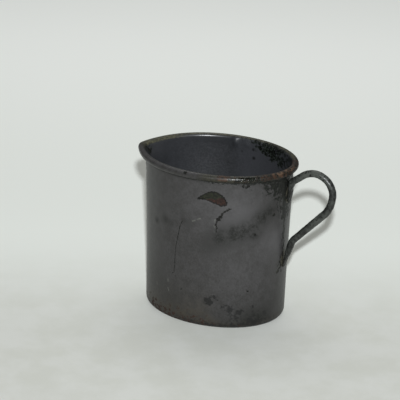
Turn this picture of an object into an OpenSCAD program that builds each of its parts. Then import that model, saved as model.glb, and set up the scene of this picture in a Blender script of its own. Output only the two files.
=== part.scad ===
// Small oval pouring jug in enamelled sheet iron: one drawn shell with a beaked spout and a
// rim rolled over an iron wire, a bent rod handle welded on at two flattened tabs, and a grey
// glass cover coat outside and inside.
// Origin at the centre of the resting face. +X points to the handle, -X to the spout, +Z up.

/* [Shell] */
// Height from the resting face to the top of the rim bead
body_h = 90; // [70:1:110]
// Length of the oval at the foot, along X, outside the enamel
foot_len = 80.6; // [70:0.2:95]
// Length of the oval at the rim, before the neck is drawn in
rim_len = 84.8; // [70:0.2:100]
// How late the wall flares out on its way up, 1 is a straight taper
flare_power = 2; // [1:0.25:3]
// Width of the oval as a share of its length
oval_ratio = 0.8; // [0.7:0.01:1]
// Amount that the neck is drawn in just below the rim, on the radius
neck_in = 1; // [0:0.1:2]
// Height of wall that narrows into the neck
neck_h = 20; // [10:1:30]
// Outside radius of the edge between wall and base
foot_r = 4; // [2:0.5:8]
// Thickness of the iron sheet with its dark ground coat
sheet_t = 0.4; // [0.3:0.05:1]

/* [Spout] */
// Distance that the spout reaches out beyond the oval
beak_reach = 6; // [3:0.5:10]
// Height of wall that swells out into the spout
beak_h = 14; // [8:1:30]
// Half angle of the spout seen from above, in degrees
beak_spread = 20; // [12:1:35]
// Drop of the rim at the tip of the spout
beak_dip = 2; // [0:0.5:6]

/* [Rim] */
// Diameter of the wire inside the rolled rim
wire_d = 2.5; // [1.5:0.1:4]
// Gap where the two ends of the rim wire meet
wire_gap = 0.6; // [0.2:0.1:2]
// Direction of that gap seen from above, in degrees from the handle
wire_gap_at = 80; // [30:5:150]

/* [Enamel] */
// Thickness of the grey cover coat
enamel_t = 0.25; // [0.15:0.05:0.5]

/* [Handle] */
// Diameter of the handle rod
rod_d = 3.9; // [3:0.1:6]
// Thickness of the flattened upper tab
upper_tab_t = 2; // [1.6:0.1:2.8]
// Width of the flattened tabs
tab_w = 4.8; // [4:0.2:8]
// Thickness of the lower tab at its tip
lower_tip_t = 1.2; // [0.5:0.1:2]
// Height of the lower end of the upper tab
upper_tab_z = 70.5; // [66:0.5:72]
// Height of the tip of the lower tab
lower_tip_z = 32.5; // [25:0.5:40]

/* [Welds] */
// Thickness of weld metal between a tab and the iron wall
weld_t = 0.35; // [0.25:0.05:1]
// Width of the weld fillet that shows round a tab
weld_margin = 0.8; // [0.4:0.1:2]

/* [Hidden] */

around = 64;            // points round the oval
crowding = 20;          // degrees by which those points crowd towards the spout
beak_sharpness = 1.5;   // 2 is a rounded nose, 1 a keen edge
beak_ramp = 1.7;        // power of the swell, 1 is a straight ramp
rod_sides = 14;         // points round the rod
bend_steps = 7;         // points along each bend of the rod

wire_r = wire_d / 2;
curl_r = wire_r + sheet_t;              // outside of the rolled sheet
bead_r = curl_r + enamel_t;             // outside of the finished bead
curl_z = body_h - bead_r;
curl_d = wire_r - enamel_t;             // centre of the curl, outwards of the wall's enamel
curl_end = -130;                        // the curl closes on the wall under the wire
groove_z = curl_z + curl_r * sin(curl_end);
inner_face = -enamel_t - sheet_t;       // inside of the sheet, from the wall's outer face

foot_angles = [90, 68, 46, 23, 0];      // 90 is flat on the ground, 0 is the upright wall
feather_angles = [70, 46, 23, 0];       // the cover coat thins out before the resting face
wall_heights = concat([for (z = [18:14:60]) z], [66, 72, 76, 79, 82], [groove_z - 0.4]);

// Heights of the rod's bends, with its distance from the wall taken from the wall itself
weld_face = weld_t - enamel_t;
handle_bends = [
    [seat(upper_tab_z, upper_tab_t), upper_tab_z, 0],
    [seat(77.5, upper_tab_t), 77.5, 5],
    [seat(82, rod_d), 82, 3],
    [56.2, 91.3, 10.8],
    [68.4, 82.7, 10.8],
    [65.8, 69.8, 16],
    [45.0, 47.6, 8],
    [seat(lower_tip_z, lower_tip_t), lower_tip_z, 0],
];
upper_flat = 7;         // length of rod that is hammered flat at the upper end
upper_blend = 5;        // length over which it turns round again
lower_wedge = 10;       // length over which the lower end thins to its tip

// ---- the oval and its wall ----

// Share of the spout's reach, from 1 at its tip to 0 round the rest of the oval
function beak(th) = exp(-pow(abs(180 - (th % 360 + 360) % 360) / beak_spread, beak_sharpness));

function half_len(z) = (foot_len + (rim_len - foot_len) * pow(z / body_h, flare_power)) / 2
    - neck_in * pow(max(0, z - body_h + neck_h) / neck_h, 2);

// How far up the swell of the spout a height is, from 0 to 1
function swell(z) = min(1, max(0, (z - body_h + beak_h) / beak_h));

function plan(th, z) = [
    half_len(z) * cos(th) - beak_reach * pow(swell(z), beak_ramp) * beak(th),
    half_len(z) * oval_ratio * sin(th)];

function outward(th, z) =
    let (along = plan(th + 1, z) - plan(th - 1, z)) [along.y, -along.x] / norm(along);

// Point of the wall at a direction and height, moved outwards by d
function on_wall(th, z, d) =
    let (at = plan(th, z) + d * outward(th, z))
    [at.x, at.y, z - beak_dip * swell(z) * beak(th)];

function spread(i) = 360 * i / around + crowding * sin(360 * i / around);

// One ring of points round the jug from a section point [d, z]
function ring(section) =
    [for (i = [0:around - 1]) on_wall(spread(i), section[1], section[0])];

// ---- section points, each [outwards of the enamelled wall, height] ----

function foot(angles, side, floor_z) =
    [for (q = angles) [-foot_r + (foot_r + side) * cos(q), foot_r - (foot_r - floor_z) * sin(q)]];

function wall(side) = [for (z = wall_heights) [side, z]];

function curl(radius, angles) =
    [for (q = angles) [curl_d + radius * cos(q), curl_z + radius * sin(q)]];

function reversed(list) = [for (i = [len(list) - 1:-1:0]) list[i]];

// ---- the rod's centre line, in the plane y = 0 ----

// Distance from the axis at which a rod of thickness t rests on the weld
function seat(z, t) = half_len(z) + weld_face + t / 2;

// Points of the arc that rounds the corner b between a and c
function bend(a, b, c, r) =
    let (u = (a - b) / norm(a - b), v = (c - b) / norm(c - b),
         half = acos(u * v) / 2,
         centre = b + (u + v) / norm(u + v) * r / sin(half),
         first = b + u * r / tan(half) - centre,
         side = sign(u.x * v.y - u.y * v.x))
    [for (i = [0:bend_steps]) let (turn = side * -(180 - 2 * half) * i / bend_steps)
        centre + [first.x * cos(turn) - first.y * sin(turn),
                  first.x * sin(turn) + first.y * cos(turn)]];

function flat2(p) = [p[0], p[1]];

handle_path = concat(
    [flat2(handle_bends[0])],
    [for (i = [1:len(handle_bends) - 2])
        each bend(flat2(handle_bends[i - 1]), flat2(handle_bends[i]),
                  flat2(handle_bends[i + 1]), handle_bends[i][2])],
    [flat2(handle_bends[len(handle_bends) - 1])]);

handle_run = [for (i = 0, s = 0; i < len(handle_path); i = i + 1,
    s = s + (i < len(handle_path) ? norm(handle_path[i] - handle_path[i - 1]) : 0)) s];
handle_length = handle_run[len(handle_run) - 1];

function ease(x) = let (t = min(1, max(0, x))) t * t * (3 - 2 * t);

// ---- solids from rings of points ----

// Joins rings that have the same number of points; closed joins the last ring to the first
module skin(rings, closed = false) {
    n = len(rings[0]);
    last = len(rings) - (closed ? 1 : 2);
    sides = [for (k = [0:last], i = [0:n - 1])
        let (a = k * n, b = (k + 1) % len(rings) * n, j = (i + 1) % n)
        each [[a + i, b + i, b + j], [a + i, b + j, a + j]]];
    caps = closed ? [] : [[for (i = [0:n - 1]) i],
                          [for (i = [n - 1:-1:0]) (len(rings) - 1) * n + i]];
    polyhedron([for (r = rings) each r], concat(sides, caps), convexity = 10);
}

// ---- sub-parts ----

// The drawn iron pressing: base, wall, spout and the curl that holds the wire
module body_shell() {
    curl_in = [180:-31:curl_end];
    color("#3b3b3a") skin([for (s = concat(
        foot(foot_angles, -enamel_t, 0),
        wall(-enamel_t),
        curl(wire_r, curl_in),
        reversed(curl(curl_r, curl_in)),
        reversed(wall(inner_face)),
        reversed(foot(foot_angles, inner_face, sheet_t)))) ring(s)]);
}

// The stiffening wire inside the curl, a ring that is open at one butt joint
module rim_wire() {
    gap = wire_gap / 2 / (half_len(curl_z) * oval_ratio) * 180 / PI;
    color("#7d7f80") skin([for (k = [0:around])
        let (th = wire_gap_at + gap + (360 - 2 * gap) * k / around)
        [for (q = [0:30:330])
            on_wall(th, curl_z + wire_r * sin(q), curl_d + wire_r * cos(q))]]);
}

// The grey cover coat of the wall, carried on round the outside of the bead
module outer_enamel() {
    lap = [curl_end, -100, -70, -35, 0, 30, 60, 90];
    color("#54565a") difference() {
        skin(reversed([for (s = concat(
            foot(feather_angles, -enamel_t, 0),
            wall(-enamel_t),
            curl(curl_r, lap),
            reversed(curl(bead_r, lap)),
            reversed(wall(0)),
            reversed(foot(feather_angles, 0, 0)))) ring(s)]), closed = true);
        tab_window(upper_spot);
        tab_window(lower_spot);
    }
}

// The cover coat of the inside, from the top of the bead down over the base
module inner_enamel() {
    lap = [180, 150, 120, 90];
    color("#4c4b52") skin([for (s = concat(
        foot(foot_angles, inner_face, sheet_t),
        wall(inner_face),
        curl(curl_r, lap),
        reversed(curl(bead_r, lap)),
        reversed(wall(inner_face - enamel_t)),
        reversed(foot(foot_angles, inner_face - enamel_t, sheet_t + enamel_t)))) ring(s)]);
}

// The bent rod, hammered flat at both ends
module handle_rod() {
    color("#2f3331") skin([for (i = [0:len(handle_path) - 1])
        let (here = handle_path[i],
             along = handle_path[min(i + 1, len(handle_path) - 1)] - handle_path[max(i - 1, 0)],
             across = [along.y, -along.x] / norm(along),
             from_top = handle_run[i],
             from_tip = handle_length - from_top,
             upper = 1 - ease((from_top - upper_flat) / upper_blend),
             lower = 1 - ease(from_tip / lower_wedge),
             thick = rod_d + (upper_tab_t - rod_d) * upper + (lower_tip_t - rod_d) * lower,
             end = min(1, sqrt(0.3 + min(from_top / 2, from_tip / 4))),
             wide = (rod_d + (tab_w - rod_d) * max(upper, lower)) * end,
             square = 2 / (2 + 2 * max(upper, lower)))
        [for (k = [0:rod_sides - 1])
            let (q = 360 * k / rod_sides,
                 out = sign(cos(q)) * pow(abs(cos(q)), square) * thick / 2,
                 side = sign(sin(q)) * pow(abs(sin(q)), square) * wide / 2)
            [here.x + across.x * out, side, here.y + across.y * out]]]);
}

// A weld spot is [centre height, half width, half height]
weld_half_h = 4.5 + weld_margin;
upper_spot = [upper_tab_z + 4, tab_w / 2 + weld_margin, weld_half_h];
lower_spot = [lower_tip_z + 4.5, tab_w / 2 + weld_margin, weld_half_h];

// Opening in the cover coat where a weld and its tab sit
module tab_window(spot) {
    translate([foot_len / 2, 0, spot[0]]) rotate([0, 90, 0])
        linear_extrude(8, center = true)
            polygon([for (q = [0:15:345]) [spot[2] * sin(q), spot[1] * cos(q)]]);
}

// Weld metal between a tab and the iron wall: a low pad with sloping edges
module weld(spot) {
    rows = [[0.1, -enamel_t], [0.55, -enamel_t], [1, -enamel_t],
            [1, -enamel_t / 2], [0.8, weld_face], [0.45, weld_face], [0.1, weld_face]];
    color("#2c2d2c") skin([for (row = rows) [for (q = [0:15:345])
        let (y = row[0] * spot[1] * cos(q), z = spot[0] + row[0] * spot[2] * sin(q))
        on_wall(asin(y / half_len(z) / oval_ratio), z, row[1])]]);
}

module upper_weld() { weld(upper_spot); }
module lower_weld() { weld(lower_spot); }

body_shell();
rim_wire();
outer_enamel();
inner_enamel();
handle_rod();
upper_weld();
lower_weld();
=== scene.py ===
"""Looks of a small oval pouring jug in enamelled sheet iron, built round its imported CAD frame.

Lengths are metres in the frame of the CAD: +X to the handle, -X to the spout, +Z up, and the origin
in the middle of the resting face. Marks on the wall are given in millimetres as (along, height):
along runs round the wall from the middle of its front, and grows towards the handle. On the bead a
direction round its section is in degrees: 0 points away from the jug and 90 points up.
"""

import math

import bpy
import numpy as np
from mathutils import Matrix, Vector


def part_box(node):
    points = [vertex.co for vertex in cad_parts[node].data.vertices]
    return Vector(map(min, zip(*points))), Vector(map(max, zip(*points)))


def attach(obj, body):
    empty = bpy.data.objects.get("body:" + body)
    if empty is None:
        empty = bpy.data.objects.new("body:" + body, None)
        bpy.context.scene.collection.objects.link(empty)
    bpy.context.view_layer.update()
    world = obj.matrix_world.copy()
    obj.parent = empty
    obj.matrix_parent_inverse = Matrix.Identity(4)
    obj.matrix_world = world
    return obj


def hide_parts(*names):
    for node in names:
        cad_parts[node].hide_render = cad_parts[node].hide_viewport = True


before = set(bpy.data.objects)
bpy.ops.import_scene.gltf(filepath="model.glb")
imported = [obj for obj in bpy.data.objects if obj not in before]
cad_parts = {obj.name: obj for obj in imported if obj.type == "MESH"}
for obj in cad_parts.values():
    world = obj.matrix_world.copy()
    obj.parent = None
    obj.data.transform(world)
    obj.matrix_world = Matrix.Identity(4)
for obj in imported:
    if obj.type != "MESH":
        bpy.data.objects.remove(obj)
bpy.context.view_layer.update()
MM = 0.001

# ---- sizes of the sheet, its rim and its coats, the same as the frame's ----

BODY_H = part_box("outer_enamel")[1].z
FOOT_HALF = 40.3 * MM
RIM_HALF = 42.4 * MM
OVAL_RATIO = 0.8
NECK_IN = 1.0 * MM
NECK_H = 20 * MM
FOOT_R = 4 * MM
SHEET_T = 0.4 * MM
ENAMEL_T = 0.25 * MM
WIRE_R = 1.25 * MM
BEAK_REACH = 6 * MM
BEAK_H = 14 * MM
BEAK_SPREAD = math.radians(20)
BEAK_DIP = 2 * MM
BEAK_SHARPNESS = 1.5  # power of the spout's fall to either side
BEAK_RAMP = 1.7  # power of its growth up the wall

CURL_R = WIRE_R + SHEET_T
BEAD_R = CURL_R + ENAMEL_T
CURL_Z = BODY_H - BEAD_R
CURL_D = WIRE_R - ENAMEL_T
CURL_END = -130
WALL_TOP = CURL_Z + CURL_R * math.sin(math.radians(CURL_END)) - 0.4 * MM
IRON_OUT = -ENAMEL_T
IRON_IN = -ENAMEL_T - SHEET_T
COAT_IN = IRON_IN - ENAMEL_T
WORN_SHARE = 0.85  # share of the coat's thickness that a chip takes away
DISH = 0.3 * MM  # rise of the middle of the base
# dents: (direction, height), (half its angle, half its height), depth in mm
DENTS = [
    ((-1.35, 50 * MM), (0.34, 22 * MM), 0.2),
    ((1.9, 35 * MM), (0.3, 16 * MM), 0.25),
    ((2.75, 28 * MM), (0.2, 12 * MM), 0.2),
]
# lumps of glass inside the bead: (direction, height), (half its angle, half its height), coats thick
INNER_LUMPS = [
    ((math.radians(98), 86.5 * MM), (0.045, 2.6 * MM), 4),
    ((math.radians(88), 86 * MM), (0.05, 1.6 * MM), 2),
]
# burnt spot inside the spout's tip: (direction, height), (half its angle, half its height)
SCORCHED_TIP = (math.pi, 85.3 * MM), (0.075, 3 * MM)

# ---- sizes of the handle and its welds ----

ROD_D = 3.9 * MM
UPPER_TAB_T = 2.0 * MM
LOWER_TIP_T = 1.2 * MM
TAB_W = 4.8 * MM
LOWER_TIP_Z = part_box("handle_rod")[0].z
UPPER_TAB_Z = LOWER_TIP_Z + 38 * MM
TAB_TOP_Z = 77.5 * MM
LEAVING_Z = 82 * MM
# corners of the rod's line away from the wall: x, z and the radius that rounds the corner
ROD_CORNERS = [
    (56.2 * MM, 91.3 * MM, 10.8 * MM),
    (68.4 * MM, 82.7 * MM, 10.8 * MM),
    (65.8 * MM, 69.8 * MM, 16 * MM),
    (45.0 * MM, 47.6 * MM, 8 * MM),
]
# lengths at the rod's two ends: flat and fading to round, and ground thinner at the very end
TAB_FLAT_L = 7 * MM
TAB_FADE_L = 5 * MM
TIP_FADE_L = 14 * MM
TAB_THIN_L = 6 * MM
TIP_THIN_L = 9 * MM
WELD_FACE = 0.1 * MM
WELD_MARGIN = 0.8 * MM
WELD_HALF_H = 4.5 * MM + WELD_MARGIN
WELD_HALF_W = TAB_W / 2 + WELD_MARGIN
# welds: middle height, half width, half height
UPPER_SPOT = (UPPER_TAB_Z + 4 * MM, WELD_HALF_W, WELD_HALF_H)
LOWER_SPOT = (LOWER_TIP_Z + 4.5 * MM, WELD_HALF_W, WELD_HALF_H)

# ---- fineness of the meshes ----

AROUND = 400
CROWDING = math.radians(20)  # draws the points of a ring towards the spout
WALL_ROWS = 150
BEAD_ROWS = 23
FOOT_ROWS = 9
INNER_ROWS = 110
LIP_ROWS = 10
INNER_FOOT_ROWS = 10
IRON_WALL_ROWS = 16
IRON_FOOT_ROWS, IRON_CURL_ROWS = (12, 8), (24, 30)  # outer face, inner face
BASE_ROWS = 24
HIDDEN_BASE_ROWS = 6
ROD_STEP = 0.4 * MM
ROD_SIDES = 40
CORNER_POINTS = 16
WELD_SIDES = 72
WELD_UNDER_ROWS, WELD_OVER_ROWS = 6, 16

# ---- marks of wear, in mm along the wall and up it ----

CRESCENT = [(3, 75), (5.5, 77.2), (8, 79), (11, 80.4), (14.5, 80), (17.3, 78.4), (19, 76),
            (19.9, 74.2), (19.2, 72.8), (16.5, 72.2), (12, 73.8), (7.5, 75.1)]
BACK_CHIP = [(-97, 14), (-95.4, 17), (-92, 19.6), (-88.3, 19.9), (-85.6, 18), (-86.4, 15.6),
             (-89.5, 15.4), (-93.2, 12.8)]
# small round chips: (along, height, radius)
SMALL_CHIPS = [
    (27.8, 83.9, 0.8), (30.6, 83.7, 0.7), (16.3, 66, 0.9), (14.8, 64.8, 0.7), (15.9, 64.1, 0.5),
    (46.5, 65.8, 0.9), (33, 22.8, 0.6), (52.7, 31, 1.2), (54.6, 33.2, 1.3),
    (-9.9, 26.8, 0.5), (35.5, 55.8, 0.6), (-66, 78, 1.0), (-84, 52, 0.7), (-104, 40, 0.9),
    (88, 60, 0.8), (97, 24, 1.1), (76, 74, 0.9), (-48, 30, 0.5), (110, 70, 0.7),
]
JAGGED_CRACK = [(21.8, 71.3), (19.4, 70), (17.6, 68.4), (16.6, 66.6), (16.2, 65.4), (15.8, 64)]
CRACK_TAIL = [(14.9, 64.8), (14.4, 62.8), (13.8, 61.3), (14.8, 59.8), (14.2, 58.6), (14.3, 57)]
HAIR_CRACK = [(-5, 61), (-7, 57), (-8, 51.5), (-9.5, 45), (-10, 39), (-10.2, 33), (-10.6, 29), (-12, 28)]
FAINT_CRACK = [(-15.3, 49.5), (-15, 38), (-14.6, 30)]
BACK_CRACK = [(-70, 66), (-73, 60), (-72, 55), (-75, 47), (-74, 41)]
# cracks and how open each one is
CRACKS = [(JAGGED_CRACK, 1.2), (CRACK_TAIL, 0.85), (HAIR_CRACK, 0.7), (FAINT_CRACK, 0.3), (BACK_CRACK, 0.6)]
SCRATCHES = [[(0.6, 61.6), (2.4, 62.4)], [(3.3, 63), (5.6, 64)], [(60.5, 29.3), (61.5, 28.4)],
             [(13.5, 64.6), (13.2, 62.8)], [(12.8, 60.9), (13.6, 59.7)], [(13, 57.8), (13.2, 57)],
             [(-15.2, 24), (-14.8, 22)], [(-15, 18.5), (-14.2, 16.8)], [(-24.8, 18.6), (-24.4, 17)],
             [(84, 50), (89, 52)], [(-98, 60), (-95, 63)]]
# soft patches: (along, height, radius, strength)
SMUDGES = [
    (10, 48.8, 6, 0.5), (14, 56, 5, 0.4), (19, 53.5, 6, 0.8), (24, 58, 5, 0.5), (27.5, 57, 6, 0.8),
    (35, 61, 5.5, 1.1), (36, 55.5, 3, 0.7), (40, 66, 5, 0.9), (45, 69, 5, 0.7), (-25, 55.2, 2, 1.0),
    (-17.6, 58.2, 2.6, 0.9), (-13, 57, 2, 0.6), (-5, 61, 2, 0.7), (-1, 60, 3, 0.35), (-75, 30, 9, 0.5),
    (-62, 66, 7, 0.4), (90, 45, 10, 0.5), (74, 30, 6, 0.4), (36, 6, 7, 1.0), (45, 8, 5, 0.6),
    (-26, 20, 12, 0.35), (-12, 12, 8, 0.25),
]
STAINS = [
    (11.6, 15.8, 2.2, 1.0), (14.4, 19.2, 1.4, 0.8), (9.9, 16.8, 1.4, 0.8), (19, 13.5, 1.6, 0.8),
    (23, 12.6, 2.2, 0.9), (29, 10.5, 2.2, 0.8), (36, 13.2, 1.0, 0.7), (36, 6, 4, 0.65),
    (44, 8, 4, 0.3), (26, 7, 4, 0.4), (16.7, 17.5, 0.8, 0.6), (-5.6, 20.2, 0.8, 0.6),
    (60, 10, 4, 0.6), (-60, 12, 4, 0.7), (-80, 9, 6, 0.7), (84, 10, 7, 0.8), (104, 13, 4, 0.7),
]
# lighter patches of the wall; the one at 50 along and 50 up is painted light where the wall turns away from
# the lamp
PALE_AND_LIT_AREAS = [(28, 67, 13, 0.35), (6, 72, 16, 0.15), (32, 35, 18, 0.1), (50, 50, 9, 0.45)]
BURNS = [(58, 76, 9, 0.8), (49, 82, 6, 0.65), (41, 83.5, 4, 0.5), (58, 65, 5, 0.65),
         (66, 80, 8, 0.6), (71, 84, 6, 0.5), (57, 34, 4, 0.6), (30, 84.2, 3, 0.5)]
RUST_PATCHES = [(-48, 19, 3, 0.35)]
# dark spots on the bead: (along, up round it from its outermost line, radius)
BEAD_SPOTS = [(-3, 1.3, 1.0), (31, 1.5, 0.9), (28, 0.2, 0.6), (20.5, 0.4, 0.7), (-28, 0.6, 0.6),
              (-52, 1.5, 0.8), (-108, 1.0, 0.9), (94, 1.2, 0.8)]
# dark spots inside the jug: (along the inner face from the handle, height, radius)
INNER_SPOTS = [(53.5, 83.8, 0.9), (53, 78.8, 1.0), (60, 81.5, 0.6), (33, 74.5, 0.6),
               (20, 72, 0.8), (-60, 60, 0.8), (-100, 40, 0.7), (10, 30, 0.9)]
INNER_MM_PER_DEGREE = 0.65
# rubbed patches under the base: (x, y, radius, strength)
RUBBED_PATCHES = [(14, 6, 7, 0.3), (-22, -8, 6, 0.35), (30, -10, 4, 0.3)]


# ---- soft steps and bumps ----


def rise(x, start, end):
    """0 at start, 1 at end, even between them and flat past them; end may be below start."""
    return np.clip((x - start) / (end - start), 0, 1)


def bell(x, width):
    """1 at 0, fading to either side over the width."""
    return np.exp(-((x / width) ** 2))


def ease(x):
    """A smooth step from 0 at 0 to 1 at 1."""
    t = np.clip(x, 0, 1)
    return t * t * (3 - 2 * t)


# ---- the oval and its wall, at direction th (0 at the handle) and height z in metres ----


def beak(th):
    """Share of the spout's reach: 1 at its tip, 0 round the rest of the oval."""
    off_tip = np.abs((th % math.tau) - math.pi)
    return np.exp(-((off_tip / BEAK_SPREAD) ** BEAK_SHARPNESS))


def half_len(z):
    """Half the oval's length at a height: it flares upwards and is drawn in under the rim."""
    flare = (RIM_HALF - FOOT_HALF) * (z / BODY_H) ** 2
    neck = NECK_IN * (np.maximum(0, z - BODY_H + NECK_H) / NECK_H) ** 2
    return FOOT_HALF + flare - neck


def swell(z):
    """Share of the way up the spout: 0 below it and 1 at the rim."""
    return rise(z, BODY_H - BEAK_H, BODY_H)


def plan(th, z):
    """Point of the wall seen from above, at a direction and height."""
    x = half_len(z) * np.cos(th) - BEAK_REACH * swell(z) ** BEAK_RAMP * beak(th)
    return x, half_len(z) * OVAL_RATIO * np.sin(th)


def bump_at(th, z, at, size):
    """A soft bump, 1 at a direction and height and fading over its size in each."""
    off = (th - at[0] + math.pi) % math.tau - math.pi
    return bell(off, size[0]) * bell(z - at[1], size[1])


def unevenness(th, z):
    """Slight waves and flats that pressing and long use leave in the sheet."""
    waves = 0.09 * np.sin(2 * th + 0.8 + 20 * z) + 0.05 * np.sin(5 * th - 31 * z)
    dents = sum(depth * bump_at(th, z, at, size) for at, size, depth in DENTS)
    held = rise(z, 0, 12 * MM) * rise(z, WALL_TOP, WALL_TOP - 10 * MM)
    return (waves - dents) * MM * held


def on_wall(th, z, d):
    """Points of the wall at directions th and heights z, moved outwards by d."""
    step = math.radians(1)
    x0, y0 = plan(th - step, z)
    x1, y1 = plan(th + step, z)
    nx, ny = y1 - y0, x0 - x1
    size = np.hypot(nx, ny)
    x, y = plan(th, z)
    out = d + unevenness(th, z)
    z_out = z - BEAK_DIP * swell(z) * beak(th)
    return np.stack([x + out * nx / size, y + out * ny / size, z_out], -1)


def directions():
    """Directions round the oval, closer together towards the spout."""
    t = np.linspace(0, math.tau, AROUND, endpoint=False)
    return t + CROWDING * np.sin(t)


def along_wall(th):
    """Distance round the wall in mm from the middle of the front, towards the handle positive."""
    t = np.linspace(-math.pi / 2, 1.5 * math.pi, 3601)  # every tenth of a degree
    a = (FOOT_HALF + RIM_HALF) / 2 / MM
    speed = np.hypot(a * np.sin(t), a * OVAL_RATIO * np.cos(t))
    run = np.concatenate([[0], np.cumsum((speed[1:] + speed[:-1]) / 2 * np.diff(t))])
    s = np.interp((th + math.pi / 2) % math.tau, t + math.pi / 2, run)
    return np.where(s > run[-1] / 2, s - run[-1], s)


# ---- section points, each [outwards of the enamelled wall, height] ----


def foot(q_from, q_to, count, side, floor_z):
    """The turned edge of the base, from q_from to q_to: 90 is straight down and 0 meets the wall."""
    q = np.radians(np.linspace(q_from, q_to, count))
    return np.stack([-FOOT_R + (FOOT_R + side) * np.cos(q), FOOT_R - (FOOT_R - floor_z) * np.sin(q)], -1)


def wall(side, count, z_from=FOOT_R, z_to=WALL_TOP):
    """The upright wall, after the point that it shares with the section before it."""
    z = np.linspace(z_from, z_to, count + 1)[1:]
    return np.stack([np.full_like(z, side), z], -1)


def curl(radius, q_from, q_to, count):
    """The round of the bead, from q_from to q_to: 0 is away from the jug and 90 is up."""
    q = np.radians(np.linspace(q_from, q_to, count))
    return np.stack([CURL_D + radius * np.cos(q), CURL_Z + radius * np.sin(q)], -1)


def rings_of(section):
    """Rings of points round the jug, one for each section point."""
    th = directions()[None, :]
    return on_wall(th, section[:, 1:], section[:, :1])


def places_of(section):
    """Direction, mm along the wall and mm of height at each point of a section's rings."""
    shape = (len(section), AROUND)
    th = np.broadcast_to(directions(), shape)
    s = np.broadcast_to(along_wall(directions()), shape)
    return th, s, np.broadcast_to(section[:, 1:] / MM, shape)


def disc_rings(edge, count, height):
    """Rings from an edge ring in to near the middle of the base, which rises by a height."""
    share = np.linspace(1, 0, count + 2)[1:-1, None, None] * [1, 1, 0] + [0, 0, 1]
    rings = edge[None] * share
    rings[..., 2] += height * (1 - share[..., 0] ** 2)
    middle = [0, 0, edge[:, 2].mean() + height]
    return rings, middle


# ---- meshes ----


def skin(name, rings, closed=False, poles=(None, None)):
    """Joins rings of points into a solid; poles are the points that close its two ends."""
    rows, n = rings.shape[:2]
    points = rings.reshape(-1, 3)
    r = np.arange(rows if closed else rows - 1)[:, None]
    c = np.arange(n)[None, :]
    following = (c + 1) % n
    up = (r + 1) % rows * n
    quads = np.stack(np.broadcast_arrays(r * n + c, r * n + following, up + following, up + c), -1)
    parts = [quads.reshape(-1, 4)]
    if not closed:
        rim, turn = c.ravel(), following.ravel()
        last = (rows - 1) * n
        hub = len(points)
        points = np.vstack([points, poles[0], poles[1]])
        parts.append(np.stack([turn, rim, np.full(n, hub)], -1))
        parts.append(np.stack([last + rim, last + turn, np.full(n, hub + 1)], -1))
    corners = np.concatenate([p.ravel() for p in parts])
    sizes = np.concatenate([np.full(len(p), p.shape[1]) for p in parts])
    starts = np.concatenate([[0], np.cumsum(sizes)[:-1]])
    mesh = bpy.data.meshes.new(name)
    mesh.vertices.add(len(points))
    mesh.vertices.foreach_set("co", points.ravel().astype(np.float32))
    mesh.loops.add(len(corners))
    mesh.loops.foreach_set("vertex_index", corners.astype(np.int32))
    mesh.polygons.add(len(sizes))
    mesh.polygons.foreach_set("loop_start", starts.astype(np.int32))
    mesh.update(calc_edges=True)
    mesh.shade_smooth()
    mesh.set_sharp_from_angle(angle=math.radians(60))
    piece = bpy.data.objects.new(name, mesh)
    bpy.context.scene.collection.objects.link(piece)
    return piece


def paint(piece, name, values):
    """Stores a number at each vertex for the piece's material; vertices past the last get 0."""
    layer = piece.data.attributes.new(name, "FLOAT", "POINT")
    full = np.zeros(len(piece.data.vertices), np.float32)
    full[: values.size] = values.ravel()
    layer.data.foreach_set("value", full)


def settle(piece, node, material):
    """Puts a finished piece in the place of its CAD node."""
    piece.data.materials.append(material)
    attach(piece, "root")
    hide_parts(node)


# ---- fields of wear over the wall, at s mm along it and z mm up ----


def nearest(s, z, line):
    """Signed distance across a line of points, and whether its nearest point is between its ends."""
    best = np.full(s.shape, 1e9)
    side = np.ones(s.shape)
    reach = np.zeros(s.shape)
    for i in range(len(line) - 1):
        a, b = np.array(line[i], float), np.array(line[i + 1], float)
        u = b - a
        t = ((s - a[0]) * u[0] + (z - a[1]) * u[1]) / (u @ u)
        held = np.clip(t, 0, 1)
        off_s, off_z = s - a[0] - held * u[0], z - a[1] - held * u[1]
        gap = np.hypot(off_s, off_z)
        closer = gap < best
        best = np.where(closer, gap, best)
        side = np.where(closer, np.sign(u[0] * off_z - u[1] * off_s), side)
        beyond = (i == 0) & (t < 0) | (i == len(line) - 2) & (t > 1)
        reach = np.where(closer, ~beyond, reach)
    return best * side, reach


def inside(s, z, outline):
    """Distance to a closed outline, positive inside it."""
    ring = outline + outline[:1]
    gap = np.abs(nearest(s, z, ring)[0])
    crossings = np.zeros(s.shape, int)
    for (s0, z0), (s1, z1) in zip(ring, ring[1:]):
        spans = (z0 > z) != (z1 > z)
        crossings += spans & (s < s0 + (z - z0) * (s1 - s0) / (z1 - z0 + 1e-9))
    return np.where(crossings % 2 == 1, gap, -gap)


def discs(s, z, spots):
    """Distance inside the nearest of some round spots (along, height, radius)."""
    return np.max([r - np.hypot(s - a, z - b) for a, b, r in spots], axis=0)


def clouds(s, z, spots):
    """Soft cover from some round spots (along, height, radius, strength)."""
    total = sum(strength * bell(np.hypot(s - a, z - b), r) for a, b, r, strength in spots)
    return np.clip(total, 0, 1.5)


def bare_end(s):
    """Share of the bead that is bare iron, at its handle end."""
    return rise(s, 32, 35) * rise(s, 80, 66)


def bare_polish_and_highlight(s):
    """Share of the bare bead that touch has polished, painted lighter as a painted highlight."""
    return 0.8 * rise(np.abs(s - 52), 13, 3)


# ---- materials ----


def tint(code):
    """Linear colour of a hex code."""
    parts = [int(code[i : i + 2], 16) / 255 for i in (1, 3, 5)]
    return [p / 12.92 if p <= 0.04045 else ((p + 0.055) / 1.055) ** 2.4 for p in parts] + [1]


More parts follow.
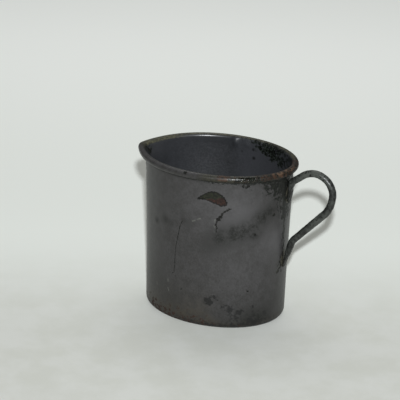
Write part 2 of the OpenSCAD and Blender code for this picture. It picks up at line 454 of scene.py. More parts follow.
class Recipe:
    """A material's node tree, with short calls for the nodes that the finishes use."""

    def __init__(self, name):
        self.material = bpy.data.materials.new(name)
        self.material.use_nodes = True
        self.tree = self.material.node_tree
        self.shader = next(n for n in self.tree.nodes if n.type == "BSDF_PRINCIPLED")
        place = self.tree.nodes.new("ShaderNodeTexCoord")
        self.place = place.outputs["Object"]

    def node(self, kind, output, inputs, **settings):
        made = self.tree.nodes.new("ShaderNode" + kind)
        for key, value in settings.items():
            setattr(made, key, value)
        for key, value in inputs.items():
            self.plug(made.inputs[key], value)
        return made.outputs[output]

    def plug(self, socket, value):
        if isinstance(value, bpy.types.NodeSocket):
            self.tree.links.new(value, socket)
        else:
            socket.default_value = value

    def painted(self, name):
        return self.node("Attribute", "Fac", {}, attribute_name=name)

    def grain(self, size, detail=3.0, roughness=0.55, shift=0.0):
        """Noise from 0 to 1 whose largest features are about size mm across."""
        inputs = {"Scale": 1 / (size * MM), "Detail": detail, "Roughness": roughness}
        return self.node("TexNoise", 0, {"Vector": self.moved(shift), **inputs})

    def moved(self, shift):
        if not shift:
            return self.place
        return self.node("VectorMath", 0, {0: self.place, 1: (shift, shift, shift)}, operation="ADD")

    def calc(self, operation, a, b=0.0):
        return self.node("Math", 0, {0: a, 1: b}, operation=operation)

    def plus(self, a, b):
        return self.calc("ADD", a, b)

    def minus(self, a, b):
        return self.calc("SUBTRACT", a, b)

    def times(self, a, b):
        return self.calc("MULTIPLY", a, b)

    def most(self, first, *others):
        for other in others:
            first = self.calc("MAXIMUM", first, other)
        return first

    def ramp(self, value, low, high, to_low=0.0, to_high=1.0):
        inputs = {"Value": value, 1: low, 2: high, 3: to_low, 4: to_high}
        return self.node("MapRange", 0, inputs, interpolation_type="SMOOTHSTEP")

    def level(self, share, a, b):
        """Number that goes from a to b with share."""
        return self.node("MapRange", 0, {"Value": share, 3: a, 4: b})

    def blend(self, share, a, b):
        """Colour that goes from a to b with share."""
        made = self.tree.nodes.new("ShaderNodeMix")
        made.data_type = "RGBA"
        for key, value in ((0, share), (6, a), (7, b)):
            self.plug(made.inputs[key], value)
        return made.outputs[2]

    def speckle(self, low, high, dark, light):
        """Dark and light colour, speckled by the fine grain between low and high."""
        return self.blend(self.ramp(self.fine, low, high), tint(dark), tint(light))

    def patchy(self, mask, size, spread=0.8, soft=0.1, shift=0.0):
        """Breaks a painted mask up with noise: it is covered where the two together pass a half."""
        broken = self.ramp(self.grain(size, 4, shift=shift), 0.28, 0.72, -spread / 2, spread / 2)
        cover = self.ramp(self.plus(mask, broken), 0.5 - soft, 0.5 + soft)
        return self.times(cover, self.ramp(mask, 0.05, 0.2))

    def roughness(self, low, high, *changes):
        """Roughness from low to high with the fine grain, then to a new value under each mask."""
        value = self.ramp(self.fine, 0.2, 0.8, low, high)
        for mask, changed in changes:
            value = self.level(mask, value, changed)
        return value

    def finish(self, colour, roughness, height=None, depth=0.1, specular=0.5):
        """Plugs in the colour, the roughness and a bump height that is worth depth mm at 1."""
        self.plug(self.shader.inputs["Base Color"], colour)
        self.plug(self.shader.inputs["Roughness"], roughness)
        self.shader.inputs["Specular IOR Level"].default_value = specular
        if height is not None:
            bump = self.node("Bump", 0, {"Height": height, "Strength": 1.0, "Distance": depth * MM})
            self.plug(self.shader.inputs["Normal"], bump)
        return self.material


def brown_iron(m):
    """Colour of the rim where the enamel is worn through to brown iron, lighter under a painted highlight
    where it is polished.
    """
    worn = m.speckle(0.3, 0.7, "#120c08", "#2b1e15")
    worn = m.blend(m.ramp(m.grain(3.5, 3, shift=4.2), 0.5, 0.66), worn, tint("#3f2c1f"))
    polish_and_highlight = m.times(m.painted("polish_and_highlight"), m.ramp(m.grain(2.5, 4, shift=6.3), 0.4, 0.6, 0.2, 1.0))
    return m.blend(polish_and_highlight, worn, tint("#5e4a3b"))


def rubbed(m, colour):
    """The colour under thin olive glass and bare brown iron, and the mask of that iron."""
    colour = m.blend(m.painted("olive"), colour, m.speckle(0.3, 0.7, "#13130b", "#45432e"))
    bare = m.patchy(m.painted("bare"), 2.0, 0.8, 0.08, shift=2.1)
    return m.blend(bare, colour, brown_iron(m)), bare


def soiled(m, colour):
    """The colour under brown earth, dark smudges and stains, and the mask of the smudges."""
    earth = m.times(m.ramp(m.painted("rust"), 0.0, 0.2), m.ramp(m.middle, 0.3, 0.7, 0.2, 0.8))
    colour = m.blend(earth, colour, tint("#38332a"))
    smudge = m.times(m.painted("smudge"), m.ramp(m.middle, 0.3, 0.66, 0.3, 1.0))
    smudge = m.times(smudge, m.ramp(m.fine, 0.25, 0.6, 0.5, 1.0))
    colour = m.blend(smudge, colour, tint("#10110e"))
    stain = m.patchy(m.painted("stain"), 2.0, 0.8, 0.25, shift=1.7)
    return m.blend(m.times(stain, 0.85), colour, tint("#0e0e0e")), smudge


def scratched(m, colour):
    """The colour under pale broken scratches."""
    scratch = m.times(m.ramp(m.painted("scratch"), 0.5, 0.1), m.ramp(m.fine, 0.35, 0.55, 0.2, 0.7))
    return m.blend(scratch, colour, tint("#5c5d57"))


def chipped(m, colour):
    """The colour under chips, olive black or rusty in a black edge, and both their masks."""
    chip = m.plus(m.painted("chip"), m.ramp(m.grain(0.9, 3, shift=3.1), 0.2, 0.8, -0.35, 0.35))
    edge = m.times(m.ramp(chip, -0.25, 0.1), m.ramp(chip, 0.8, 0.3))
    chip = m.ramp(chip, -0.08, 0.08)
    rusty = m.patchy(m.painted("chip_rust"), 1.6, 1.0, 0.3, shift=5.1)
    olive_black = m.speckle(0.35, 0.65, "#090a07", "#1d2013")
    core = m.blend(rusty, olive_black, m.speckle(0.3, 0.7, "#100703", "#2c1810"))
    colour = m.blend(edge, m.blend(chip, colour, core), tint("#020201"))
    return colour, chip, m.times(chip, rusty)


def cracked(m, colour):
    """The colour under black cracks, and their mask."""
    width = m.times(m.painted("crack_depth"), m.ramp(m.fine, 0.3, 0.7, 0.3, 0.85))
    gap = m.calc("ABSOLUTE", m.painted("crack"))
    crack = m.ramp(m.minus(gap, width), 0.0, -0.25)
    return m.blend(m.times(crack, 0.92), colour, tint("#070704")), crack


def cover_coat(name, dark, light):
    """The part of a finish that both cover coats share: mottled grey glass."""
    m = Recipe(name)
    m.middle = m.grain(4, 4, shift=0.3)
    m.fine = m.grain(1.0, 4, shift=0.7)
    mottle = m.ramp(m.middle, 0.3, 0.7, -0.07, 0.07)
    grit = m.ramp(m.fine, 0.25, 0.75, -0.07, 0.07)
    shade = m.plus(m.plus(m.painted("tone"), mottle), grit)
    return m, m.blend(m.ramp(shade, 0.0, 1.0), tint(dark), tint(light))


def outer_finish():
    """Grey glass, dirty and scratched, with a worn bead, burns, chips and cracks."""
    m, colour = cover_coat("outer_enamel_finish", "#201f1d", "#464546")
    colour, smudge = soiled(m, colour)
    rust = m.patchy(m.painted("rust"), 1.9, 0.95, 0.16, shift=1.3)
    colour = m.blend(rust, colour, m.blend(m.fine, tint("#0d0906"), tint("#35241a")))
    colour, bare = rubbed(m, scratched(m, colour))
    scorch = m.patchy(m.painted("scorch"), 1.8, 1.05, 0.2, shift=2.7)
    colour = m.blend(scorch, colour, m.speckle(0.45, 0.65, "#030402", "#191c16"))
    colour, chip, chip_rust = chipped(m, colour)
    colour, crack = cracked(m, colour)
    gloss = m.painted("gloss")
    roughness = m.roughness(
        0.34, 0.46, (smudge, 0.52), (m.most(bare, m.painted("olive")), 0.55), (scorch, 0.55),
        (m.most(crack, chip), 0.28), (m.most(rust, chip_rust), 0.85), (gloss, 0.2))
    height = m.plus(m.times(m.fine, 0.4), m.times(m.most(rust, bare, gloss), m.fine))
    height = m.minus(height, m.times(m.most(crack, scorch), 1.2))
    return m.finish(colour, roughness, height, 0.06, specular=0.35)


def inner_finish():
    """Slate grey glass with dark spots, brown residue low down, and burns."""
    m, colour = cover_coat("inner_enamel_finish", "#1c1d1e", "#2e2f32")
    spots = m.ramp(m.painted("spots"), -0.5, 0.7)
    colour = m.blend(m.times(spots, 0.85), colour, tint("#070706"))
    residue = m.patchy(m.painted("residue"), 5, 0.9, 0.3, shift=3.3)
    colour = m.blend(m.times(residue, 0.6), colour, tint("#1b140d"))
    colour, bare = rubbed(m, colour)
    scorch = m.patchy(m.painted("scorch"), 2.2, 1.2, 0.2, shift=1.9)
    colour = m.blend(scorch, colour, m.speckle(0.45, 0.65, "#090a08", "#262b27"))
    roughness = m.roughness(
        0.3, 0.42, (m.most(residue, bare, m.painted("olive")), 0.6), (scorch, 0.28),
        (m.painted("gloss"), 0.31))
    height = m.minus(m.plus(m.fine, m.times(bare, m.fine)), scorch)
    return m.finish(colour, roughness, height, 0.04)


def ground_finish():
    """Black ground coat with fine pits, worn to brown iron where the jug rests on its base."""
    m = Recipe("ground_coat_finish")
    m.fine = m.grain(0.8, 4)
    cloudy = m.ramp(m.grain(14, 4, shift=0.9), 0.45, 0.7)
    colour = m.blend(m.times(cloudy, 0.6), m.speckle(0.3, 0.7, "#131311", "#231f1b"), tint("#37322b"))
    worn = m.patchy(m.painted("rub"), 3.0, 0.9, 0.12, shift=1.4)
    colour = m.blend(worn, colour, brown_iron(m))
    height = m.plus(m.fine, m.times(worn, m.fine))
    return m.finish(colour, m.roughness(0.4, 0.55, (worn, 0.8)), height, 0.05)


def weld_finish(name):
    """Uneven grey weld metal with brown and burnt black patches."""
    m = Recipe(name)
    m.fine = m.grain(0.8, 4)
    brown = m.ramp(m.grain(2.2, 3, shift=0.5), 0.48, 0.62)
    colour = m.blend(m.times(brown, 0.7), m.speckle(0.3, 0.7, "#1b1b17", "#4a483c"), tint("#2a231c"))
    burnt = m.ramp(m.grain(2.4, 4, shift=2.9), 0.5, 0.6)
    colour = m.blend(burnt, colour, tint("#0d0d0b"))
    return m.finish(colour, m.roughness(0.5, 0.65), m.fine, 0.08)


def wire_finish():
    """Plain grey wire, out of sight in the curl."""
    m = Recipe("wire_finish")
    m.fine = m.grain(0.8, 4)
    colour = m.speckle(0.3, 0.7, "#5a5b5c", "#747676")
    return m.finish(colour, m.roughness(0.4, 0.55), m.fine, 0.04)


def handle_finish():
    """Black enamel on the rod, paler at the top of the arch and the lower bend as painted light, and burnt
    at both ends.
    """
    m = Recipe("handle_enamel_finish")
    m.fine = m.grain(0.8, 4, shift=0.6)
    mottle = m.ramp(m.grain(3.5, 4), 0.3, 0.7, -0.25, 0.25)
    grit = m.ramp(m.fine, 0.25, 0.75, -0.12, 0.12)
    shade = m.plus(m.plus(m.painted("tone"), mottle), grit)
    colour = m.blend(m.ramp(shade, 0.0, 1.0), tint("#0e0f0e"), tint("#3f423e"))
    worn = m.patchy(m.painted("scorch"), 1.8, 1.0, 0.12, shift=1.1)
    colour = m.blend(worn, colour, m.speckle(0.4, 0.7, "#060605", "#1b1c17"))
    height = m.minus(m.plus(m.fine, mottle), worn)
    return m.finish(colour, m.roughness(0.28, 0.42, (worn, 0.6)), height, 0.05, specular=0.35)


# ---- the sheet and its coats ----


def rust_share(s, z):
    """Rust specks near the foot, most at the low left of the front and behind the handle."""
    front = rise(s, 18, 8) * rise(s, -75, -55)
    back = rise(s, 66, 76)
    edge = 0.5 * bell(z, 5) * np.maximum(np.maximum(front, back), 0.4)
    return edge + 0.13 * bell(z, 20) * front + clouds(s, z, RUST_PATCHES)


def bead_wear(s, q):
    """Painted masks of the bead in direction q on it, at s mm along."""
    # painted highlight: the upper part of the bead is painted lighter in its tone
    upper = rise(np.abs(q - 65), 45, 0)
    top = rise(np.abs(q - 78), 60, 0)
    # stretches of the bead: without shine, away from the front, and worn bare
    dull = rise(s, 3, 9)
    far = rise(np.abs(s - 4), 56, 66)
    patch = rise(np.abs(s - 16.7), 5, 1) * rise(q, -30, -10)
    back_patch = rise(np.abs(s + 88), 6, 1)
    sparkle = rise(s, 21, 24) * rise(s, 38, 35)
    end = bare_end(s)
    spots = rise(discs(s, np.radians(q) * BEAD_R / MM, BEAD_SPOTS), -0.2, 0.2)
    burnt = 0.45 * sparkle + 0.42 * end + 0.3 * end * rise(q, -5, -25)
    return {
        "tone": 0.35 + 0.3 * upper - 0.35 * dull,
        "scorch": np.maximum(spots, burnt),
        "olive": np.clip(0.3 * dull + far * (0.35 + 0.65 * top), 0, 0.9),
        "bare": np.maximum.reduce([end, patch, back_patch, 0.45 * sparkle]),
        # painted highlight: the top of the bare bead is painted lighter where it is polished
        "polish_and_highlight": bare_polish_and_highlight(s) * rise(q, 10, 40),
        "gloss": rise(np.abs(s - 29), 10.4, 2.4),
    }


def outer_wear(s, z, q, on_bead):
    """Painted masks of the outer coat, on the wall and on the bead."""
    # areas of the wall, with painted shade on its left front and painted light on its back; a dark upright
    # line beside the handle; painted shade in the groove under the bead; and dirt and painted contact
    # shadow at the foot
    # painted shade: the wall's left front is painted darker
    left = rise(s, -28, -36) * rise(s, -70, -55)
    # painted light: the back of the wall is painted lighter
    behind = rise(np.abs(s), 62, 72)
    # lighter in the pale patches, one of which is painted light at the handle end, and darker towards the
    # bottom
    tone = 0.4 + clouds(s, z, PALE_AND_LIT_AREAS) - 0.12 * rise(z, 30, 0) + 0.1 * behind - 0.22 * left
    # a dark line painted down the wall between the handle's two ends
    upright_dark_line = bell(s - 54.2 - 0.12 * (70 - z), 1.5) * rise(z, 34, 38)
    # painted shade in the groove under the bead and on the bead's underside, with black chipping along it
    groove_shade = bell(z - 85.6, 0.8) * (1 - on_bead) + on_bead * rise(q, -40, -80)
    # darker at the foot: dirt and painted contact shadow
    foot_dirt_and_shade = (0.4 + 0.6 * rise(s, -15, 5)) * bell(z, 3.5)
    # burns, with the upright line and the groove's painted shade and chipping added in
    burnt = clouds(s, z, BURNS) + 0.5 * upright_dark_line + 0.9 * groove_shade * rise(s, 2, 10)
    masks = {name: on_bead * values for name, values in bead_wear(s, q).items()}
    masks["tone"] += (1 - on_bead) * tone
    masks["scorch"] += (1 - on_bead) * burnt
    # the smudges also take in the upright line, the groove's painted shade, and the dirt and painted
    # contact shadow at the foot
    masks["smudge"] = np.clip(clouds(s, z, SMUDGES) + 0.7 * upright_dark_line + groove_shade + 0.9 * bell(z, 5), 0, 1)
    masks["stain"] = clouds(s, z, STAINS) + 0.8 * upright_dark_line + foot_dirt_and_shade
    masks["rust"] = rust_share(s, z) * (1 - on_bead)
    masks["scratch"] = np.minimum.reduce([np.abs(nearest(s, z, line)[0]) for line in SCRATCHES])
    return masks


def crack_masks(s, z):
    """Signed distance to the nearest crack, and how open that crack is."""
    gap, depth = np.full(s.shape, 1e3), np.zeros(s.shape)
    for line, strength in CRACKS:
        across, reach = nearest(s, z, line)
        closer = np.abs(across) < np.abs(gap)
        gap = np.where(closer, across, gap)
        depth = np.where(closer, reach * strength, depth)
    return {"crack": gap, "crack_depth": depth}


def coat_loss(th, z, chip):
    """Share of the outer coat that is gone: chips, and openings at the welds."""
    away = rise(chip, -0.15, 0.35)
    for centre_z, half_w, half_h in (UPPER_SPOT, LOWER_SPOT):
        y = half_len(z * MM) * OVAL_RATIO * np.sin(th)
        rho = np.hypot(y / half_w, (z * MM - centre_z) / half_h)
        away = np.maximum(away, rise(rho, 1, 0.875) * (np.cos(th) > 0))
    return away * WORN_SHARE


def outer_enamel():
    """The cover coat outside and round the bead, with its chips and weld openings sunk in."""

    def section(side, radius):
        return np.vstack([
            foot(70, 0, FOOT_ROWS, side, 0),
            wall(side, WALL_ROWS),
            curl(radius, CURL_END, 90, BEAD_ROWS)])

    front, back = section(0, BEAD_R), section(IRON_OUT, CURL_R)
    th, s, z = places_of(front)
    on_bead = np.zeros(s.shape)
    on_bead[-BEAD_ROWS:] = 1
    q = np.full(s.shape, float(CURL_END))
    q[-BEAD_ROWS:] = np.linspace(CURL_END, 90, BEAD_ROWS)[:, None]
    crescent = inside(s, z, CRESCENT)
    chip = np.maximum.reduce([crescent, inside(s, z, BACK_CHIP), discs(s, z, SMALL_CHIPS)])
    coat, iron = rings_of(front), rings_of(back)
    coat = coat + coat_loss(th, z, chip)[..., None] * (iron - coat)
    bead_start = len(back) - BEAD_ROWS
    # the face against the iron is out of sight: each 6th ring of the wall and 3rd of the bead will do
    hidden = sorted({*range(0, len(back), 6), *range(bead_start, len(back), 3), len(back) - 1})
    piece = skin("cover_coat_outside", np.concatenate([coat, iron[hidden][::-1]]), closed=True)
    lower_part = rise(z - 0.15 * (s - 10), 76.6, 75.2) * (crescent > -2)
    chip_masks = {
        "chip": np.maximum(chip, -4),
        "chip_rust": np.maximum(lower_part, 0.6 * (s < -20)),
    }
    masks = outer_wear(s, z, q, on_bead) | chip_masks | crack_masks(s, z)
    for name, values in masks.items():
        paint(piece, name, values)
    settle(piece, "outer_enamel", outer_finish())


def inner_wear(s, z, th, q):
    """Painted masks of the inner coat's wall and bead; the inside of the wall has q at 180."""
    # direction from the middle in degrees: 0 at the handle, 90 at the back, 180 at the spout
    deg = np.degrees((th + math.pi) % math.tau - math.pi)
    on_bead = (q < 180) * 1.0
    rim_top = rise(q, 150, 120)
    lower_edge = 83 - 6.5 * rise(deg, 72, 42) + 3 * rise(deg, 74, 88)
    round_part = rise(deg, 14, 28) * rise(deg, 90, 72)
    dense = 0.55 + 0.4 * rise(deg, 40, 60)
    burn = dense * round_part * rise(z - lower_edge, -2.7, 3.3) * (1 - 0.6 * on_bead * rim_top)
    tip = 1.1 * bump_at(th, z * MM, *SCORCHED_TIP)
    front_lip = 0.5 * rise(deg, -20, -30) * rise(z, 84, 87) * (1 - on_bead * rim_top)
    spout_lip = rise(z, 84, 85.5) * rise(np.abs(deg), 138, 150)
    worn_round = rise(np.abs(s - 4), 50, 64)
    return {
        "tone": 0.4 + 0.25 * rise(deg, 95, 145) + 0.45 * rise(deg, 102, 87),
        "scorch": np.maximum.reduce([burn, tip, front_lip]),
        "spots": np.maximum(discs(deg * INNER_MM_PER_DEGREE, z, INNER_SPOTS), -3),
        "olive": 0.85 * np.maximum(rim_top, spout_lip) * on_bead * worn_round,
        "bare": on_bead * bare_end(s),
        "polish_and_highlight": on_bead * bare_polish_and_highlight(s),
        "gloss": bell(deg - 117, 17) * (z > 85),
        "residue": 0.45 * rise(z, 25, 0),
    }


def inner_enamel():
    """The cover coat inside, from the top of the bead down over the base."""

    def section(side, radius, floor_z):
        return np.vstack([
            curl(radius, 90, 180, LIP_ROWS),
            wall(side, INNER_ROWS, CURL_Z, FOOT_R),
            foot(0, 90, INNER_FOOT_ROWS, side, floor_z)[1:]])

    front = section(COAT_IN, BEAD_R, SHEET_T + ENAMEL_T)
    back = section(IRON_IN, CURL_R, SHEET_T)
    th, s, z = places_of(front)
    q = np.full(s.shape, 180.0)
    q[:LIP_ROWS] = np.linspace(90, 180, LIP_ROWS)[:, None]
    coat, iron = rings_of(front), rings_of(back)
    lumps = sum(coats * bump_at(th, z * MM, at, size) for at, size, coats in INNER_LUMPS)
    coat = coat + lumps[..., None] * (coat - iron)
    floor_coat, middle_coat = disc_rings(coat[-1], BASE_ROWS, DISH)
    floor_iron, middle_iron = disc_rings(iron[-1], HIDDEN_BASE_ROWS, DISH)
    # the face against the iron is out of sight: each 3rd ring of the lip and 8th of the wall will do
    hidden = sorted({*range(0, LIP_ROWS, 3), *range(LIP_ROWS - 1, len(back), 8), len(back) - 1})
    rings = np.concatenate([floor_iron[::-1], iron[hidden][::-1], coat, floor_coat])
    piece = skin("cover_coat_inside", rings, poles=(middle_iron, middle_coat))
    lead = len(floor_iron) + len(hidden)
    for name, values in inner_wear(s, z, th, q).items():
        full = np.zeros(rings.shape[:2])
        full[lead : lead + len(front)] = values
        full[lead + len(front) :] = values[-1]
        paint(piece, name, full)
    settle(piece, "inner_enamel", inner_finish())


def iron_shell():
    """The pressed sheet with its ground coat: base, turned edge, wall and curl."""
    section = np.vstack([
        foot(90, 0, IRON_FOOT_ROWS[0], IRON_OUT, 0),
        wall(IRON_OUT, IRON_WALL_ROWS),
        curl(WIRE_R, 180, CURL_END, IRON_CURL_ROWS[0]),
        curl(CURL_R, CURL_END, 180, IRON_CURL_ROWS[1]),
        wall(IRON_IN, IRON_WALL_ROWS, FOOT_R, CURL_Z)[::-1],
        foot(90, 0, IRON_FOOT_ROWS[1], IRON_IN, SHEET_T)[::-1]])
    rings = rings_of(section)
    under, middle_under = disc_rings(rings[0], BASE_ROWS, DISH)
    top, middle_top = disc_rings(rings[-1], HIDDEN_BASE_ROWS, DISH)
    rings_in = np.concatenate([np.arange(len(under), 0, -1), np.zeros(len(rings))])
    rings = np.concatenate([under[::-1], rings, top])
    piece = skin("iron_sheet", rings, poles=(middle_under, middle_top))
    resting = np.zeros((len(rings), 1))
    resting[: len(rings_in), 0] = 0.8 * bell(rings_in, 2.5) + 0.17
    patches = clouds(rings[..., 0] / MM, rings[..., 1] / MM, RUBBED_PATCHES)
    paint(piece, "rub", resting + patches * (resting > 0))
    settle(piece, "body_shell", ground_finish())


# ---- the handle and its welds ----


def handle_line():
    """Evenly spaced points [x, z] along the middle of the rod, from its upper end to its tip."""

    def seat(z, t):
        return half_len(z) + WELD_FACE + t / 2

    corners = [
        (seat(UPPER_TAB_Z, UPPER_TAB_T), UPPER_TAB_Z, 0),
        (seat(TAB_TOP_Z, UPPER_TAB_T), TAB_TOP_Z, 5 * MM),
        (seat(LEAVING_Z, ROD_D), LEAVING_Z, 3 * MM),
        *ROD_CORNERS,
        (seat(LOWER_TIP_Z, LOWER_TIP_T), LOWER_TIP_Z, 0),
    ]
    points = [np.array(corners[0][:2])]
    for i in range(1, len(corners) - 1):
        a, b, c = (np.array(corners[k][:2]) for k in (i - 1, i, i + 1))
        radius = corners[i][2]
        u, v = (a - b) / np.linalg.norm(a - b), (c - b) / np.linalg.norm(c - b)
        half = math.acos(u @ v) / 2
        centre = b + (u + v) / np.linalg.norm(u + v) * radius / math.sin(half)
        first = b + u * radius / math.tan(half) - centre
        side = np.sign(u[0] * v[1] - u[1] * v[0])
        for turn in -side * (math.pi - 2 * half) * np.linspace(0, 1, CORNER_POINTS):
            cos, sin = math.cos(turn), math.sin(turn)
            points.append(centre + [first[0] * cos - first[1] * sin, first[0] * sin + first[1] * cos])
    points.append(np.array(corners[-1][:2]))
    points = np.array(points)
    run = np.concatenate([[0], np.cumsum(np.linalg.norm(np.diff(points, axis=0), axis=1))])
    even = np.linspace(0, run[-1], int(run[-1] / ROD_STEP))
    return np.stack([np.interp(even, run, points[:, k]) for k in (0, 1)], -1), even


def handle():
    """The rod, round along its loop and hammered flatter at both ends."""
    line, run = handle_line()
    from_tip = run[-1] - run
    share = run / run[-1]
    along = np.gradient(line, axis=0)
    across = np.stack([along[:, 1], -along[:, 0]], -1) / np.linalg.norm(along, axis=1)[:, None]
    upper = 1 - ease((run - TAB_FLAT_L) / TAB_FADE_L)
    lower = 1 - ease(from_tip / TIP_FADE_L)
    flat = np.maximum(upper, lower)
    thick = ROD_D + (UPPER_TAB_T - ROD_D) * upper + (LOWER_TIP_T - ROD_D) * lower
    rounding = np.minimum(1, np.sqrt(0.3 + np.minimum(run / 2, from_tip / 4) / MM))
    wide = (ROD_D + (TAB_W - ROD_D) * flat) * rounding
    q = np.linspace(0, math.tau, ROD_SIDES, endpoint=False)[None, :]
    square = (1 / (1 + flat))[:, None]  # 1 where the section is round, less where it is boxy
    # small hammer marks, and a slight swelling on the lower run
    marks = 0.014 * np.sin(900 * run[:, None] + 3 * q) + 0.012 * np.sin(2300 * run[:, None] - 2 * q + 1)
    lumpy = 1 + 0.09 * bell(share - 0.6, 0.12)[:, None] + marks

    def half_section(wave, size):
        return np.sign(wave) * np.abs(wave) ** square * size[:, None] / 2 * lumpy

    out, side = half_section(np.cos(q), thick), half_section(np.sin(q), wide)
    thinned_upper = 0.9 * (1 - ease(run / TAB_THIN_L))[:, None]
    thinned_lower = 0.8 * (1 - ease(from_tip / TIP_THIN_L))[:, None]
    out = np.where(out > 0, out * (1 - thinned_upper), out * (1 - thinned_lower))
    rings = np.stack([line[:, :1] + across[:, :1] * out, side, line[:, 1:] + across[:, 1:] * out], -1)
    piece = skin("handle", rings, poles=[[line[k, 0], 0, line[k, 1]] for k in (0, -1)])
    # painted light: the top of the arch and the lower bend are painted paler
    painted_light_on_arch = 0.7 * bell(share - 0.27, 0.09) + 0.2 * bell(share - 0.62, 0.08)
    ends = rise(np.minimum(share, 1 - share), 0.12, 0)
    for name, values in {"tone": (0.4 + painted_light_on_arch) * (1 - ends), "scorch": 0.22 + 0.75 * ends}.items():
        paint(piece, name, np.broadcast_to(values[:, None], side.shape))
    settle(piece, "handle_rod", handle_finish())


def weld(name, node, spot):
    """A low cushion of weld metal that fills an opening in the coat, under an end of the rod."""
    centre_z, half_w, half_h = spot
    q = np.linspace(0, math.tau, WELD_SIDES, endpoint=False)[None, :]
    under, over = np.linspace(0.1, 1, WELD_UNDER_ROWS), np.linspace(0.96, 0.06, WELD_OVER_ROWS)
    rho = np.concatenate([under, [1], over])[:, None]
    d = IRON_OUT + (WELD_FACE - IRON_OUT) * np.sqrt(rise(rho, 1, 0.78))
    d[:WELD_UNDER_ROWS] = IRON_OUT
    d[WELD_UNDER_ROWS] = IRON_OUT * 0.6
    y = rho * half_w * np.cos(q)
    z = centre_z + rho * half_h * np.sin(q)
    th = np.arcsin(y / half_len(z) / OVAL_RATIO)
    rings = on_wall(th, z, np.broadcast_to(d, th.shape))
    middle = np.full(1, centre_z)
    poles = [on_wall(np.zeros(1), middle, face)[0] for face in (IRON_OUT, WELD_FACE)]
    settle(skin(name, rings, poles=poles), node, weld_finish(name + "_finish"))


def rim_wire():
    """The wire in the curl keeps its CAD shape, and gets its own finish."""
    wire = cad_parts["rim_wire"]
    wire.data.materials.clear()
    wire.data.materials.append(wire_finish())


# ---- floor, light and camera ----


VIEW_TURN = math.radians(25.41)
VIEW_RISE = math.radians(21.76)
VIEW_ROLL = math.radians(2.04)
VIEW_AWAY = 0.9
AIM_LEFT = 9.57 * MM
AIM_UP = 16.71 * MM
LENS = 145.7
SENSOR = 36
BEHIND = Vector((-math.sin(VIEW_TURN), math.cos(VIEW_TURN), 0))
BODY_MIDDLE = Vector((0, 0, BODY_H / 2))

KEY_SIZE = 0.018
KEY_STRENGTH = 13.0
KEY_FROM_CAMERA = Vector((0.008, 0.05, 0))
KEY_COLOUR = (0.97, 1.0, 1.02)
SOFT_SIZE = 1.0
SOFT_POWER = 4.6
SOFT_PLACE = BEHIND * 0.5 + Vector((0, 0, 1.2))
SOFT_COLOUR = (1.0, 1.0, 0.96)
ROOM_COLOUR = (0.125, 0.125, 0.12, 1)
CLOTH_HALF = 4


def add_camera():
    """A long lens in front of the jug and above it, turned a little to the handle side."""
    right = Vector((math.cos(VIEW_TURN), math.sin(VIEW_TURN), 0))
    back = -BEHIND * math.cos(VIEW_RISE) + Vector((0, 0, math.sin(VIEW_RISE)))
    up = back.cross(right)
    x_axis = right * math.cos(VIEW_ROLL) + up * math.sin(VIEW_ROLL)
    y_axis = -right * math.sin(VIEW_ROLL) + up * math.cos(VIEW_ROLL)
    place = BODY_MIDDLE + back * VIEW_AWAY
    aim = BODY_MIDDLE - AIM_LEFT * x_axis + AIM_UP * y_axis
    forward = (aim - place).normalized()
    x_axis = forward.cross(y_axis).normalized()
    y_axis = x_axis.cross(forward)
    camera = bpy.data.objects.new("camera", bpy.data.cameras.new("camera"))
    camera.data.lens = LENS
    camera.data.sensor_width = SENSOR
    camera.data.clip_start = 0.01
    turn = Matrix((x_axis, y_axis, -forward)).transposed().to_4x4()
    camera.matrix_world = Matrix.Translation(place) @ turn
    bpy.context.scene.collection.objects.link(camera)
    bpy.context.scene.camera = camera


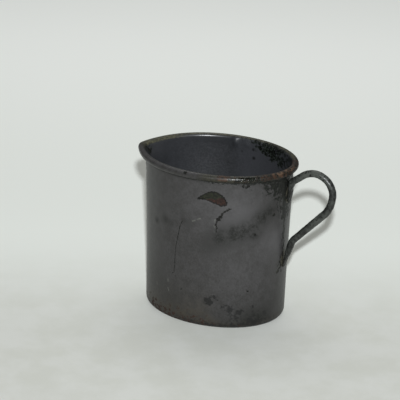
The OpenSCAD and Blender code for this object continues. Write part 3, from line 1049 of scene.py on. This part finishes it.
def add_floor():
    """A plain pale cloth, painted darker in front and lighter behind as painted light, with faint painted
    shade of creases in front.
    """
    corners = [(x * CLOTH_HALF, y * CLOTH_HALF, 0) for x, y in ((-1, -1), (1, -1), (1, 1), (-1, 1))]
    mesh = bpy.data.meshes.new("floor")
    mesh.from_pydata(corners, [], [(0, 1, 2, 3)])
    floor = bpy.data.objects.new("floor", mesh)
    bpy.context.scene.collection.objects.link(floor)
    m = Recipe("floor_cloth")
    depth = m.node("VectorMath", "Value", {0: m.place, 1: BEHIND}, operation="DOT_PRODUCT")
    painted_crease_shade = m.ramp(m.grain(30, 5, 0.6), 0.35, 0.65)
    # painted shade: the cloth in front is painted darker, with faint painted crease shade
    front = m.blend(painted_crease_shade, tint("#c7c8c1"), tint("#cecfca"))
    # painted light: the cloth behind the jug is painted lighter, more so further back
    back = m.blend(m.ramp(depth, 0.1, 0.6), tint("#e4e7e2"), tint("#f9fbf8"))
    colour = m.blend(m.ramp(depth, -0.06, 0.11), front, back)
    mesh.materials.append(m.finish(colour, 0.9))


def add_lamp(name, size, power, place, colour):
    """A round lamp that faces the middle of the body."""
    data = bpy.data.lights.new(name, "AREA")
    data.shape = "DISK"
    data.size = size
    data.energy = power
    data.color = colour
    lamp = bpy.data.objects.new(name, data)
    toward = (place - BODY_MIDDLE).to_track_quat("Z", "Y").to_matrix().to_4x4()
    lamp.matrix_world = Matrix.Translation(place) @ toward
    bpy.context.scene.collection.objects.link(lamp)
    return data


def add_light():
    """A small lamp close above the camera, a large soft one high behind, and a dim even room."""
    world = bpy.data.worlds.new("soft_room")
    world.use_nodes = True
    sky = next(n for n in world.node_tree.nodes if n.type == "BACKGROUND")
    sky.inputs["Color"].default_value = ROOM_COLOUR
    bpy.context.scene.world = world
    key_place = bpy.context.scene.camera.matrix_world @ KEY_FROM_CAMERA
    key = add_lamp("key", KEY_SIZE, 1.0, key_place, KEY_COLOUR)
    key.use_nodes = True
    emission = next(n for n in key.node_tree.nodes if n.type == "EMISSION")
    falloff = key.node_tree.nodes.new("ShaderNodeLightFalloff")
    falloff.inputs["Strength"].default_value = KEY_STRENGTH
    key.node_tree.links.new(falloff.outputs["Constant"], emission.inputs["Strength"])
    add_lamp("soft_box", SOFT_SIZE, SOFT_POWER, SOFT_PLACE, SOFT_COLOUR)
    bpy.context.scene.view_settings.view_transform = "Standard"


add_camera()
add_light()
add_floor()
iron_shell()
outer_enamel()
inner_enamel()
handle()
weld("weld_upper", "upper_weld", UPPER_SPOT)
weld("weld_lower", "lower_weld", LOWER_SPOT)
rim_wire()
